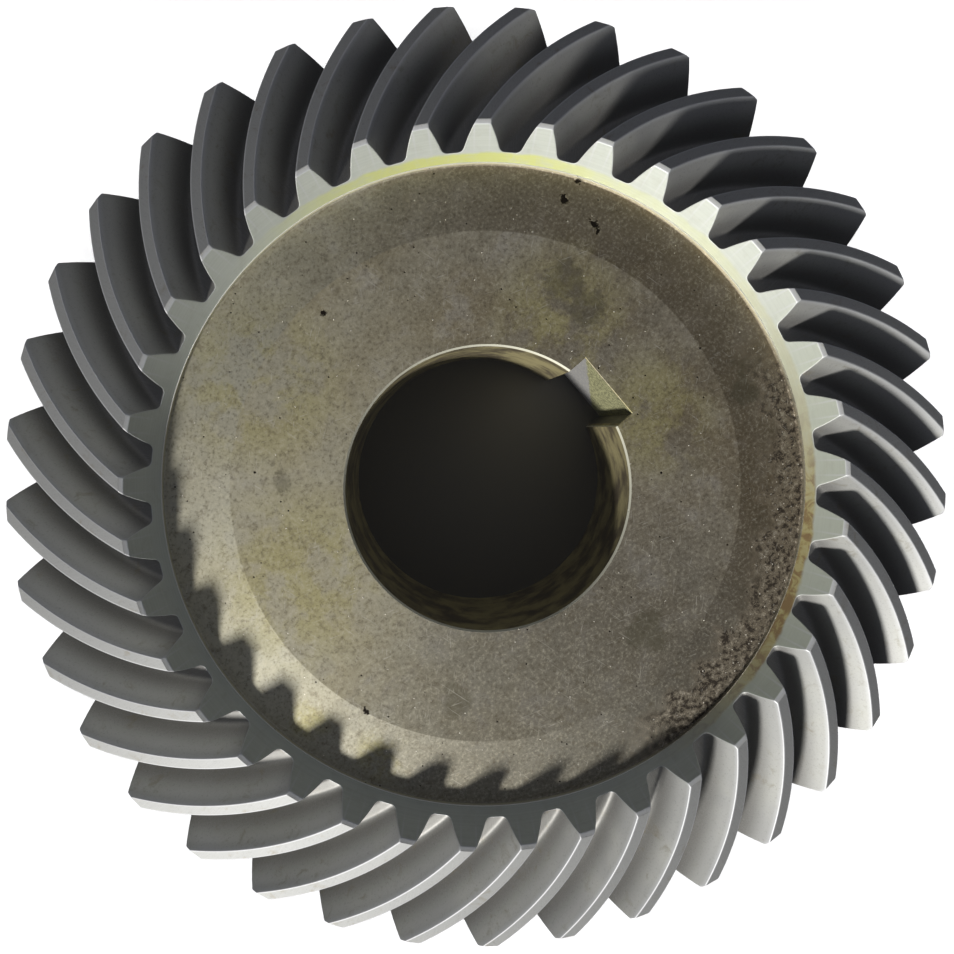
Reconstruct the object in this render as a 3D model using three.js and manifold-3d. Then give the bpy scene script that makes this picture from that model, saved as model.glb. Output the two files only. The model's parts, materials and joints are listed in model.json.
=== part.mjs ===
// Spiral bevel gear, built up from a toothed ring that is bolted to a keyed hub.
//
// Millimetres. The gear lies on the hub's back face: the axis is +Z towards the small
// ends (toes) of the teeth, the origin is the centre of the back face, and the keyway
// is on +X. In each section [radius, height] pairs are turned around the axis.

import * as THREE from "three";
import { mergeVertices } from "three/addons/utils/BufferGeometryUtils.js";
import Module from "manifold-3d";

const wasm = await Module();
wasm.setup();

// Driving dimensions -----------------------------------------------------------------

const DEGREE = Math.PI / 180;

// Teeth
const TEETH = 37;
const OUTER_MODULE = 10;
const PITCH_ANGLE = 59.3 * DEGREE;
const APEX_HEIGHT = 164;
const FACE_WIDTH = 62;
const ADDENDUM = 8.2;
const WHOLE_DEPTH = 18.9;
const DEPTH_TAPER = 0.77;
const MEAN_SPIRAL_ANGLE = 35 * DEGREE;
const CUTTER_RADIUS = 152;
const TOP_LAND_AT_TOE = 5.4;
const TOP_LAND_AT_HEEL = 6.4;
const SLOT_FLOOR = 5.4;
const FLANK_BULGE = 0.35;
const ROOT_FILLET = 1;
const FILLET_SHARE = 0.12;
const FIRST_TOE_ANGLE = 2 * DEGREE;

// Toothed ring
const LAND_BELOW_TOE_ROOT = 5;
const RIM_BELOW_HEEL_ROOT = 6;
const RING_BACK = 33;
const RING_EDGE = 1.5;

// Hub
const FRONT_FACE = 75;
const BORE_RADIUS = 55;
const BORE_CHAMFER = 0.8;
const KEYWAY_WIDTH = 28;
const KEYWAY_FLOOR = 61.4;
const FRONT_FACE_RADIUS = 98.8;
const CONE_DROP = 3;
const RECESS_FILLET = 0.8;
const FLANGE_RADIUS = 160;
const FLANGE_BACK = 17;
const BOSS_RADIUS = 88;
const BOSS_FILLET = 5;
const EDGE_CHAMFER = 1.5;

// Fasteners: M16 hexagon screws with plain washers, and plain dowel pins
const SCREWS = 12;
const BOLT_CIRCLE_RADIUS = 142;
const SCREW_RADIUS = 7.7;
const SCREW_LENGTH = 40;
const HEAD_ACROSS_FLATS = 24;
const HEAD_HEIGHT = 10;
const TAPPED_HOLE_RADIUS = 8;
const TAPPED_HOLE_DEPTH = 24;
const CLEARANCE_HOLE_RADIUS = 8.75;
const WASHER_RADIUS = 15;
const WASHER_THICKNESS = 3;
const DOWELS = 3;
const DOWEL_RADIUS = 6;
const DOWEL_LENGTH = 36;
const DOWEL_ABOVE_FLANGE_BACK = 0.5;
const POINT_CHAMFER = 1.5;

// Play between neighbouring pieces, and how far a cut runs past the faces it opens
const GAP = 0.3;
const CUT_MARGIN = 1;

// Mesh fineness
const MERGE_DISTANCE = 1e-4;
const FLANK_SHARE = 0.55;
const STATIONS = 5;
const CIRCLE_POINTS = 3 * TEETH;
const HUB_POINTS = 96;
const HOLE_POINTS = 16;
const WASHER_POINTS = 20;
const ARC_STEPS = 3;

// Worked out
const PITCH_RADIUS = (OUTER_MODULE * TEETH) / 2;
const OUTER_CONE_DISTANCE = PITCH_RADIUS / Math.sin(PITCH_ANGLE);
const INNER_CONE_DISTANCE = OUTER_CONE_DISTANCE - FACE_WIDTH;
const TOOTH_PITCH = (2 * Math.PI) / TEETH;
const SCREW_PITCH = (2 * Math.PI) / SCREWS;

// Solids and booleans ----------------------------------------------------------------

function toSolid(geometry) {
  const bare = geometry.clone();
  bare.deleteAttribute("normal");
  bare.deleteAttribute("uv");
  const merged = mergeVertices(bare, MERGE_DISTANCE);
  const vertProperties = new Float32Array(merged.attributes.position.array);
  const triVerts = new Uint32Array(merged.index.array);
  return new wasm.Manifold(new wasm.Mesh({ numProp: 3, vertProperties, triVerts }));
}

function toGeometry(solid) {
  const mesh = solid.getMesh();
  const geometry = new THREE.BufferGeometry();
  const positions = new Float32Array(mesh.vertProperties);
  const corners = new Uint32Array(mesh.triVerts);
  geometry.setAttribute("position", new THREE.BufferAttribute(positions, 3));
  geometry.setIndex(new THREE.BufferAttribute(corners, 1));
  geometry.computeVertexNormals();
  return geometry;
}

// Turns a counter-clockwise [radius, height] section around +Z. It starts and ends on the
// axis, or on the same point.
function turned(section, points) {
  const outline = section.map(([radius, height]) => new THREE.Vector2(radius, height));
  return new THREE.LatheGeometry(outline, points).rotateX(Math.PI / 2);
}

function closed(section) {
  return [...section, section[0]];
}

function solidCylinder(radius, bottom, top, points) {
  const cylinder = new THREE.CylinderGeometry(radius, radius, top - bottom, points);
  return cylinder.rotateX(Math.PI / 2).translate(0, 0, (bottom + top) / 2);
}

function onBoltCircle(angle) {
  const x = BOLT_CIRCLE_RADIUS * Math.cos(angle);
  const y = BOLT_CIRCLE_RADIUS * Math.sin(angle);
  return [x, y, 0];
}

function screwAngle(index) {
  return index * SCREW_PITCH;
}

function dowelAngle(index) {
  return SCREW_PITCH / 2 + (index * 2 * Math.PI) / DOWELS;
}

function cutHoles(body, count, angleOf, radius, bottom, top) {
  let solid = body;
  for (let index = 0; index < count; index += 1) {
    const hole = solidCylinder(radius, bottom, top, HOLE_POINTS).translate(...onBoltCircle(angleOf(index)));
    solid = solid.subtract(toSolid(hole));
  }
  return solid;
}

// Toothed ring -----------------------------------------------------------------------

// Radius and height of a point at a cone distance, raised from the pitch cone.
function conePoint(distance, raised) {
  const radius = distance * Math.sin(PITCH_ANGLE) + raised * Math.cos(PITCH_ANGLE);
  const height = APEX_HEIGHT - distance * Math.cos(PITCH_ANGLE) + raised * Math.sin(PITCH_ANGLE);
  return [radius, height];
}

function depthScale(distance) {
  return 1 - DEPTH_TAPER * (1 - distance / OUTER_CONE_DISTANCE);
}

// Angle on the unrolled pitch cone of the circular cut that a face-mill cutter leaves.
function traceAngle(distance) {
  const mean = OUTER_CONE_DISTANCE - FACE_WIDTH / 2;
  const squared = mean ** 2 + CUTTER_RADIUS ** 2 - 2 * mean * CUTTER_RADIUS * Math.sin(MEAN_SPIRAL_ANGLE);
  const centre = Math.sqrt(squared);
  return Math.acos((distance ** 2 + squared - CUTTER_RADIUS ** 2) / (2 * distance * centre));
}

// Angle that a tooth has turned through at a cone distance. It is negative, which is
// clockwise seen from the toe side: a right-hand spiral.
function toothTurn(distance) {
  return (traceAngle(distance) - traceAngle(INNER_CONE_DISTANCE)) / Math.sin(PITCH_ANGLE);
}

// One tooth's outline at a cone distance: [angle from the tooth's centre, raised height].
function toothOutline(distance) {
  const fromToe = (distance - INNER_CONE_DISTANCE) / FACE_WIDTH;
  const top = ADDENDUM * depthScale(distance);
  const floor = (ADDENDUM - WHOLE_DEPTH) * depthScale(distance);
  const topHalf = THREE.MathUtils.lerp(TOP_LAND_AT_TOE, TOP_LAND_AT_HEEL, fromToe) / 2;
  const rootHalf = (TOOTH_PITCH * conePoint(distance, floor)[0] - SLOT_FLOOR) / 2 - ROOT_FILLET;
  const halfWidth = (share) =>
    THREE.MathUtils.lerp(rootHalf, topHalf, share) + FLANK_BULGE * 4 * share * (1 - share);
  const side = [
    [topHalf, top],
    [halfWidth(FLANK_SHARE), THREE.MathUtils.lerp(floor, top, FLANK_SHARE)],
    [halfWidth(FILLET_SHARE), THREE.MathUtils.lerp(floor, top, FILLET_SHARE)],
    [rootHalf + ROOT_FILLET, floor],
  ].map(([width, raised]) => [width / conePoint(distance, raised)[0], raised]);
  const mirrored = side.map(([angle, raised]) => [-angle, raised]).reverse();
  return [...mirrored, ...side];
}

function stationPoints(distance) {
  const outline = toothOutline(distance);
  const points = [];
  for (let tooth = 0; tooth < TEETH; tooth += 1) {
    const centre = FIRST_TOE_ANGLE + toothTurn(distance) + tooth * TOOTH_PITCH;
    for (const [angle, raised] of outline) {
      const [radius, height] = conePoint(distance, raised);
      points.push([radius * Math.cos(centre + angle), radius * Math.sin(centre + angle), height]);
    }
  }
  return points;
}

function circlePoints([radius, height]) {
  const points = [];
  for (let index = 0; index < CIRCLE_POINTS; index += 1) {
    const angle = FIRST_TOE_ANGLE + (index * 2 * Math.PI) / CIRCLE_POINTS;
    points.push([radius * Math.cos(angle), radius * Math.sin(angle), height]);
  }
  return points;
}

// Triangles of the band between two closed rows of equal length.
function bandTriangles(first, second, length, reversed) {
  const triangles = [];
  for (let index = 0; index < length; index += 1) {
    const next = (index + 1) % length;
    const quad = [
      [first + index, second + index, second + next],
      [first + index, second + next, first + next],
    ];
    triangles.push(...quad.map(([a, b, c]) => (reversed ? [a, c, b] : [a, b, c])));
  }
  return triangles;
}

// Fills the cone between a row of tooth points and a circle inside it.
function endTriangles(points, row, rowLength, circle, facesUp) {
  const flat = (start, length) =>
    points.slice(start, start + length).map(([x, y]) => new THREE.Vector2(x, y));
  const order = [];
  for (let index = 0; index < rowLength; index += 1) order.push(row + index);
  for (let index = 0; index < CIRCLE_POINTS; index += 1) order.push(circle + index);
  const faces = THREE.ShapeUtils.triangulateShape(flat(row, rowLength), [flat(circle, CIRCLE_POINTS)]);
  return faces.map(([a, b, c]) => {
    const [pa, pb, pc] = [a, b, c].map((corner) => points[order[corner]]);
    const area = (pb[0] - pa[0]) * (pc[1] - pa[1]) - (pc[0] - pa[0]) * (pb[1] - pa[1]);
    return area > 0 === facesUp ? [order[a], order[b], order[c]] : [order[a], order[c], order[b]];
  });
}

// Where the ring's seat on the hub meets the cone of the toes.
function ringSeatEdge() {
  const toeFloor = (ADDENDUM - WHOLE_DEPTH) * depthScale(INNER_CONE_DISTANCE);
  return conePoint(INNER_CONE_DISTANCE, toeFloor - LAND_BELOW_TOE_ROOT);
}

function toothedRingBlank() {
  const points = [];
  const rows = [];
  for (let station = 0; station < STATIONS; station += 1) {
    const distance = INNER_CONE_DISTANCE + (FACE_WIDTH * station) / (STATIONS - 1);
    rows.push(points.length);
    points.push(...stationPoints(distance));
  }
  const rowLength = rows[1];

  const heelRim = conePoint(OUTER_CONE_DISTANCE, ADDENDUM - WHOLE_DEPTH - RIM_BELOW_HEEL_ROOT);
  const [seatRadius, seatTop] = ringSeatEdge();
  const section = [
    [seatRadius, seatTop],
    [seatRadius, RING_BACK + RING_EDGE],
    [seatRadius + RING_EDGE, RING_BACK],
    [heelRim[0] - RING_EDGE, RING_BACK],
    [heelRim[0], RING_BACK + RING_EDGE],
    heelRim,
  ];
  const circles = section.map((corner) => {
    const start = points.length;
    points.push(...circlePoints(corner));
    return start;
  });

  const triangles = [];
  for (let station = 1; station < STATIONS; station += 1) {
    triangles.push(...bandTriangles(rows[station - 1], rows[station], rowLength, false));
  }
  for (let corner = 1; corner < circles.length; corner += 1) {
    triangles.push(...bandTriangles(circles[corner - 1], circles[corner], CIRCLE_POINTS, true));
  }
  const heelRow = rows[STATIONS - 1];
  const heelCircle = circles[circles.length - 1];
  triangles.push(...endTriangles(points, rows[0], rowLength, circles[0], true));
  triangles.push(...endTriangles(points, heelRow, rowLength, heelCircle, false));

  const geometry = new THREE.BufferGeometry();
  geometry.setAttribute("position", new THREE.Float32BufferAttribute(points.flat(), 3));
  geometry.setIndex(triangles.flat());
  return geometry;
}

function toothedRing() {
  let solid = toSolid(toothedRingBlank());
  const below = RING_BACK - CUT_MARGIN;
  solid = cutHoles(solid, SCREWS, screwAngle, TAPPED_HOLE_RADIUS, below, RING_BACK + TAPPED_HOLE_DEPTH);
  const dowelTop = FLANGE_BACK + DOWEL_ABOVE_FLANGE_BACK + DOWEL_LENGTH + GAP;
  solid = cutHoles(solid, DOWELS, dowelAngle, DOWEL_RADIUS + GAP, below, dowelTop);
  return toGeometry(solid);
}

// Hub --------------------------------------------------------------------------------

// Points of a quarter arc around a centre, from one angle to another.
function arcPoints(centre, radius, from, to) {
  const points = [];
  for (let step = 0; step <= ARC_STEPS; step += 1) {
    const angle = THREE.MathUtils.lerp(from, to, step / ARC_STEPS) * DEGREE;
    points.push([centre[0] + radius * Math.cos(angle), centre[1] + radius * Math.sin(angle)]);
  }
  return points;
}

function hubSection() {
  const [seatRadius, seatTop] = ringSeatEdge();
  const spigot = seatRadius - GAP;
  const recessFloor = FRONT_FACE - CONE_DROP;
  const flangeFront = RING_BACK - GAP;
  return [
    [BORE_RADIUS, BORE_CHAMFER],
    [BORE_RADIUS + BORE_CHAMFER, 0],
    [BOSS_RADIUS - EDGE_CHAMFER, 0],
    [BOSS_RADIUS, EDGE_CHAMFER],
    ...arcPoints([BOSS_RADIUS + BOSS_FILLET, FLANGE_BACK - BOSS_FILLET], BOSS_FILLET, 180, 90),
    [FLANGE_RADIUS - EDGE_CHAMFER, FLANGE_BACK],
    [FLANGE_RADIUS, FLANGE_BACK + EDGE_CHAMFER],
    [FLANGE_RADIUS, flangeFront - EDGE_CHAMFER],
    [FLANGE_RADIUS - EDGE_CHAMFER, flangeFront],
    [spigot, flangeFront],
    [spigot, seatTop - GAP],
    ...arcPoints([spigot - RECESS_FILLET, recessFloor + RECESS_FILLET], RECESS_FILLET, 0, -90).slice(1),
    [FRONT_FACE_RADIUS, FRONT_FACE],
    [BORE_RADIUS + BORE_CHAMFER, FRONT_FACE],
    [BORE_RADIUS, FRONT_FACE - BORE_CHAMFER],
  ];
}

function hub() {
  let solid = toSolid(turned(closed(hubSection()), HUB_POINTS));
  const slotDepth = KEYWAY_FLOOR - BORE_RADIUS / 2;
  const slot = new THREE.BoxGeometry(slotDepth, KEYWAY_WIDTH, 2 * FRONT_FACE);
  slot.translate(KEYWAY_FLOOR - slotDepth / 2, 0, FRONT_FACE / 2);
  solid = solid.subtract(toSolid(slot));
  const above = RING_BACK + CUT_MARGIN;
  const below = FLANGE_BACK - CUT_MARGIN;
  solid = cutHoles(solid, SCREWS, screwAngle, CLEARANCE_HOLE_RADIUS, below, above);
  solid = cutHoles(solid, DOWELS, dowelAngle, DOWEL_RADIUS + GAP, below, above);
  return toGeometry(solid);
}

// Fasteners --------------------------------------------------------------------------

// A round bar from bottom to top with both ends chamfered.
function pinSection(radius, bottom, top) {
  return [
    [0, bottom],
    [radius - POINT_CHAMFER, bottom],
    [radius, bottom + POINT_CHAMFER],
    [radius, top - POINT_CHAMFER],
    [radius - POINT_CHAMFER, top],
    [0, top],
  ];
}

function screw() {
  const headTop = FLANGE_BACK - 2 * GAP - WASHER_THICKNESS;
  const cornerRadius = HEAD_ACROSS_FLATS / Math.sqrt(3);
  const head = toSolid(solidCylinder(cornerRadius, headTop - HEAD_HEIGHT, headTop, 6));
  const shankSection = pinSection(SCREW_RADIUS, headTop - HEAD_HEIGHT / 2, headTop + SCREW_LENGTH);
  const shank = toSolid(turned(shankSection, HOLE_POINTS));
  return toGeometry(head.add(shank));
}

function washer() {
  const top = FLANGE_BACK - GAP;
  const inner = CLEARANCE_HOLE_RADIUS;
  const section = [
    [inner, top - WASHER_THICKNESS],
    [WASHER_RADIUS, top - WASHER_THICKNESS],
    [WASHER_RADIUS, top],
    [inner, top],
  ];
  return turned(closed(section), WASHER_POINTS);
}

function dowel() {
  const bottom = FLANGE_BACK + DOWEL_ABOVE_FLANGE_BACK;
  return turned(pinSection(DOWEL_RADIUS, bottom, bottom + DOWEL_LENGTH), HOLE_POINTS);
}

// Assembly ---------------------------------------------------------------------------

const toothSteel = { color: 0x5d6266, roughness: 0.42, metalness: 0.9 };
const hubSteel = { color: 0x6f6a58, roughness: 0.6, metalness: 0.75 };
const screwSteel = { color: 0x2c2d2f, roughness: 0.5, metalness: 0.8 };
const washerSteel = { color: 0x9a9da0, roughness: 0.35, metalness: 0.95 };
const dowelSteel = { color: 0xb4b6b8, roughness: 0.25, metalness: 1 };

function part(name, geometry, finish) {
  const mesh = new THREE.Mesh(geometry, new THREE.MeshStandardMaterial(finish));
  mesh.name = name;
  return mesh;
}

function partsOnBoltCircle(name, count, angleOf, geometry, finish) {
  const group = new THREE.Group();
  for (let index = 0; index < count; index += 1) {
    const number = String(index + 1).padStart(2, "0");
    const mesh = part(`${name}_${number}`, geometry, finish);
    mesh.position.set(...onBoltCircle(angleOf(index)));
    group.add(mesh);
  }
  return group;
}

const gear = new THREE.Group();
gear.add(part("toothed_ring", toothedRing(), toothSteel));
gear.add(part("hub", hub(), hubSteel));
gear.add(partsOnBoltCircle("ring_screw", SCREWS, screwAngle, screw(), screwSteel));
gear.add(partsOnBoltCircle("ring_washer", SCREWS, screwAngle, washer(), washerSteel));
gear.add(partsOnBoltCircle("ring_dowel", DOWELS, dowelAngle, dowel(), dowelSteel));

export default gear;
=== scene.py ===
"""Looks of a built-up spiral bevel gear: a toothed ring bolted to a keyed hub.

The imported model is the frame. Every piece is rebuilt here as a finer mesh of the same
dimensions, in millimetres in the code and in metres in the scene. The gear lies on the
floor on its hub's back face, with its axis on +Z and its keyway on +X.
"""

import json
import math

import bpy
import numpy as np
from mathutils import Matrix, Vector
from mathutils.geometry import delaunay_2d_cdt

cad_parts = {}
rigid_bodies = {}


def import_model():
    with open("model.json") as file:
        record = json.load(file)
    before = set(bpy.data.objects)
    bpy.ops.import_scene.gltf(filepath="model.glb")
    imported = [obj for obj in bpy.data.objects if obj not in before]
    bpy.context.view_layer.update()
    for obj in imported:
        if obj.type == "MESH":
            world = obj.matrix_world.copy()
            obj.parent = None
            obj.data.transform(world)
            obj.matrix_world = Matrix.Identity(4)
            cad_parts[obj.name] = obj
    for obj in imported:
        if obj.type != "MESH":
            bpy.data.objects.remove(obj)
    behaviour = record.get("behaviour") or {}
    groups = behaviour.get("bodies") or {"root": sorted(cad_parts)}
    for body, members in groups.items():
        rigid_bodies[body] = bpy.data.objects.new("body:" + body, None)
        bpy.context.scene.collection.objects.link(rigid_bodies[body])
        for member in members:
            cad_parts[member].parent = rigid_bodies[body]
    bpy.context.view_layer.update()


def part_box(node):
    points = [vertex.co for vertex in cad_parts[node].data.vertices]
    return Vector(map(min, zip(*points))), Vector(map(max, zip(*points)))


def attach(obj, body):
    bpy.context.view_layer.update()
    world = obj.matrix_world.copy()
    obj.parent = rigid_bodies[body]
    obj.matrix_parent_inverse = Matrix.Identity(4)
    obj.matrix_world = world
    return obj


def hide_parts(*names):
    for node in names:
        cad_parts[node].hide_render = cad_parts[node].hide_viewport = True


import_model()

scene = bpy.context.scene

MM = 0.001
BODY = "root"

# ---------------- driving dimensions (mm)

# Teeth
TEETH = 37
OUTER_MODULE = 10
PITCH_ANGLE = math.radians(59.3)
APEX_HEIGHT = 164
FACE_WIDTH = 62
ADDENDUM = 8.2
WHOLE_DEPTH = 18.9
DEPTH_TAPER = 0.77
MEAN_SPIRAL_ANGLE = math.radians(35)
CUTTER_RADIUS = 152
TOP_LAND_AT_TOE = 5.4
TOP_LAND_AT_HEEL = 6.4
SLOT_FLOOR = 5.4
FLANK_BULGE = 0.35
ROOT_CORNER = 1
FILLET_REACH = 1.9
FILLET_SHARE = 0.17
FIRST_TOE_ANGLE = math.radians(2)
TIP_EDGE = 0.4
END_EDGE = 0.3
TOE_CHAMFER = 1.3
HEEL_CHAMFER = 1.4

# Toothed ring
LAND_BELOW_TOE_ROOT = 5
RIM_BELOW_HEEL_ROOT = 6
RING_BACK = 33
RING_EDGE = 1.5

# Hub
BORE_RADIUS = 55
BORE_CHAMFER = 0.8
KEYWAY_HALF = 14
KEYWAY_FLOOR = 61.4
KEYWAY_DEBURR = 0.25
FRONT_FACE_RADIUS = 98.8
CONE_DROP = 3
RECESS_FILLET = 0.8
WALL_SLOPE = 0.1
LIP_WIDTH = 0.3
FLANGE_BACK = 17
BOSS_RADIUS = 88
BOSS_FILLET = 5
EDGE_CHAMFER = 1.5

# Fasteners
SCREWS = 12
DOWELS = 3
BOLT_CIRCLE = 142
SCREW_LENGTH = 40
HEAD_HALF_FLATS = 12
HEAD_HEIGHT = 10
THREAD_CREST = 7.9
THREAD_ROOT = 6.8
THREAD_PITCH = 2
THREAD_LENGTH = 26
TAPPED_HOLE = 8
TAPPED_HOLE_DEPTH = 24
CLEARANCE_HOLE = 8.75
WASHER_RADIUS = 15
WASHER_THICKNESS = 3
DOWEL_RADIUS = 6
DOWEL_LENGTH = 36
DOWEL_ABOVE_FLANGE_BACK = 0.5
POINT_CHAMFER = 1.5
DOWEL_FIT = 0.05
SEAT_FIT = 0.02

# Taken from the frame
FRONT_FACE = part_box("hub")[1].z / MM
FLANGE_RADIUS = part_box("hub")[1].x / MM
WASHER_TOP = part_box("ring_washer_01")[1].z / MM
HEAD_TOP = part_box("ring_screw_01")[0].z / MM + HEAD_HEIGHT

# Worked out
OUTER_DISTANCE = OUTER_MODULE * TEETH / 2 / math.sin(PITCH_ANGLE)
INNER_DISTANCE = OUTER_DISTANCE - FACE_WIDTH
TOOTH_PITCH = 2 * math.pi / TEETH

# ---------------- directions in the picture

KEYWAY_IN_PICTURE = math.radians(40.7)


def from_picture(right, up, above_face=0.0):
    """A point given in mm to the right, up and out of the centre of the hub's front face, in metres."""
    turned = Matrix.Rotation(-KEYWAY_IN_PICTURE, 3, "Z") @ Vector((right, up, above_face))
    return (turned + Vector((0, 0, FRONT_FACE))) * MM


def picture_vector(direction, height):
    """A unit vector towards a direction in the picture (0 right, 90 up) and a height, in degrees."""
    across = math.radians(direction) - KEYWAY_IN_PICTURE
    flat = math.cos(math.radians(height))
    return Vector((flat * math.cos(across), flat * math.sin(across), math.sin(math.radians(height))))


# ---------------- camera

# Place and aim are mm to the right, up and out of the centre of the hub's front face
LENS = 37.8
SENSOR = 36
CAMERA_PLACE = (-23.1, 24.3, 385.4)
CAMERA_AIM = (-4.4, 4.8, 0)
NEAREST = 0.01


def make_camera():
    place = from_picture(*CAMERA_PLACE)
    away = (place - from_picture(*CAMERA_AIM)).normalized()
    right = picture_vector(90, 0).cross(away).normalized()
    turn = Matrix((right, away.cross(right), away)).transposed()
    data = bpy.data.cameras.new("camera")
    data.lens = LENS
    data.sensor_width = SENSOR
    data.clip_start = NEAREST
    camera = bpy.data.objects.new("camera", data)
    camera.matrix_world = Matrix.Translation(place) @ turn.to_4x4()
    scene.collection.objects.link(camera)
    scene.camera = camera


make_camera()

# ---------------- mesh helpers

# Faces that meet at a sharper angle than this many degrees keep a sharp edge
CREASE = 28
MERGE = 1e-5
JUST_INSIDE = 0.9999
HOLE_POINTS = 48


class Shell:
    """Points and faces of one closed mesh, gathered row by row, in millimetres."""

    def __init__(self):
        self.points = []
        self.faces = []

    def row(self, points):
        """Adds points and returns their indices."""
        start = len(self.points)
        self.points.extend(tuple(point) for point in points)
        return list(range(start, len(self.points)))

    def band(self, first, second):
        """Quads between two closed rows of equal length. They face left of the way from first to second."""
        count = len(first)
        for index in range(count):
            after = (index + 1) % count
            self.faces.append((first[index], first[after], second[after], second[index]))

    def bands(self, rows):
        for first, second in zip(rows, rows[1:]):
            self.band(first, second)

    def disc(self, row, facing_up):
        self.faces.append(tuple(row if facing_up else reversed(row)))

    def plate(self, outer, inner, holes, facing_up):
        """A flat face between an outer and an inner row, with more rows cut out of it."""
        loops = [outer, inner, *holes]
        order = [index for loop in loops for index in loop]
        flat = [Vector(self.points[index][:2]) for index in order]
        edges = []
        start = 0
        for loop in loops:
            count = len(loop)
            edges.extend((start + index, start + (index + 1) % count) for index in range(count))
            start += count
        result = delaunay_2d_cdt(flat, edges, [], 0, MERGE)
        vertices, triangles, origin = result[0], result[2], result[3]
        rings = [np.array([self.points[index][:2] for index in loop]) for loop in [inner, *holes]]
        centres = [ring.mean(axis=0) for ring in rings]
        limits = [np.linalg.norm(ring - centre, axis=1).min() for ring, centre in zip(rings, centres)]
        rim = max(point.length for point in flat) * JUST_INSIDE
        for triangle in triangles:
            middle = sum((np.array(vertices[corner]) for corner in triangle), np.zeros(2)) / 3
            if np.linalg.norm(middle) > rim:
                continue
            if any(np.linalg.norm(middle - centre) < limit for centre, limit in zip(centres, limits)):
                continue
            corners = [order[origin[corner][0]] for corner in triangle]
            self.faces.append(tuple(corners if facing_up else reversed(corners)))


def turned_row(radius, height, angles):
    return [(radius * math.cos(angle), radius * math.sin(angle), height) for angle in angles]


def circle_angles(count, start=0.0):
    return [start + 2 * math.pi * index / count for index in range(count)]


def rounded(corners, steps=4):
    """A section's [radius, height] points, with each (radius, height, rounding) corner rounded off."""
    points = []
    for index, corner in enumerate(corners):
        place = Vector(corner[:2])
        rounding = corner[2] if len(corner) > 2 else 0
        if not rounding:
            points.append(tuple(place))
            continue
        before = (Vector(corners[index - 1][:2]) - place).normalized()
        after = (Vector(corners[(index + 1) % len(corners)][:2]) - place).normalized()
        half = before.angle(after) / 2
        centre = place + (before + after).normalized() * rounding / math.sin(half)
        start = place + before * rounding / math.tan(half) - centre
        end = place + after * rounding / math.tan(half) - centre
        sweep = start.angle_signed(end)
        for step in range(steps + 1):
            turn = Matrix.Rotation(-sweep * step / steps, 2)
            points.append(tuple(centre + turn @ start))
    return points


def lathe(section, count):
    """A shell turned around the axis from a closed section, counter-clockwise in (radius, height)."""
    shell = Shell()
    angles = circle_angles(count)
    rows = [shell.row(turned_row(radius, height, angles)) for radius, height in section]
    shell.bands(rows + rows[:1])
    return shell


def spindle(section, count):
    """A shell turned from an open section that starts and ends with a flat disc on the axis."""
    shell = Shell()
    angles = circle_angles(count)
    rows = [shell.row(turned_row(radius, height, angles)) for radius, height in section]
    shell.bands(rows)
    shell.disc(rows[0], False)
    shell.disc(rows[-1], True)
    return shell


def to_mesh(name, shell, worn=()):
    """The shell as a smooth mesh with sharp creases, and worn edges marked for its material."""
    mesh = bpy.data.meshes.new(name)
    points = [tuple(value * MM for value in point) for point in shell.points]
    mesh.from_pydata(points, [], shell.faces)
    mesh.shade_smooth()
    mesh.set_sharp_from_angle(angle=math.radians(CREASE))
    wear = np.zeros(len(points), np.float32)
    wear[list(worn)] = 1
    mesh.attributes.new("edge_wear", "FLOAT", "POINT").data.foreach_set("value", wear)
    return mesh


def place_piece(name, mesh, material, node, place=(0, 0, 0)):
    """Shows a mesh as the piece that stands for a CAD node."""
    piece = bpy.data.objects.new(name, mesh)
    piece.location = Vector(place) * MM
    scene.collection.objects.link(piece)
    if not mesh.materials:
        mesh.materials.append(material)
    shading = piece.modifiers.new("even_shading", "WEIGHTED_NORMAL")
    shading.keep_sharp = True
    shading.weight = 100
    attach(piece, BODY)
    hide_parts(node)
    return piece


def on_bolt_circle(angle):
    return BOLT_CIRCLE * math.cos(angle), BOLT_CIRCLE * math.sin(angle)


def screw_places():
    return [on_bolt_circle(2 * math.pi * index / SCREWS) for index in range(SCREWS)]


def dowel_places():
    first = math.pi / SCREWS
    return [on_bolt_circle(first + 2 * math.pi * index / DOWELS) for index in range(DOWELS)]


def hole_row(shell, place, radius, height):
    circle = turned_row(radius, height, circle_angles(HOLE_POINTS))
    return shell.row((x + place[0], y + place[1], z) for x, y, z in circle)


# ---------------- toothed ring

# Points along the outline of half a tooth, and sections along the face width
FLOOR_POINTS = 2
FILLET_POINTS = 5
FLANK_POINTS = 9
TIP_POINTS = 3
STATIONS = 22

# A rounded end edge: share of END_EDGE along the tooth, and share that the outline is moved in
END_ROUNDING = ((0.0, 1.0), (0.3, 0.3), (1.0, 0.0))
TOE_CONE_SHARES = (0.35, 0.7, 1.0)


def curve(first, corner, last, along):
    """A point on the curve from first to last that bends towards the corner."""
    return (1 - along) ** 2 * first + 2 * along * (1 - along) * corner + along**2 * last


def cone_point(distance, raised):
    """Radius and height of a point at a cone distance, raised from the pitch cone."""
    radius = distance * np.sin(PITCH_ANGLE) + raised * np.cos(PITCH_ANGLE)
    height = APEX_HEIGHT - distance * np.cos(PITCH_ANGLE) + raised * np.sin(PITCH_ANGLE)
    return radius, height


def depth_scale(distance):
    return 1 - DEPTH_TAPER * (1 - distance / OUTER_DISTANCE)


def trace_angle(distance):
    """Angle on the unrolled pitch cone of the circular cut that a face-mill cutter leaves."""
    mean = OUTER_DISTANCE - FACE_WIDTH / 2
    squared = mean**2 + CUTTER_RADIUS**2 - 2 * mean * CUTTER_RADIUS * math.sin(MEAN_SPIRAL_ANGLE)
    return math.acos((distance**2 + squared - CUTTER_RADIUS**2) / (2 * distance * math.sqrt(squared)))


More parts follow.
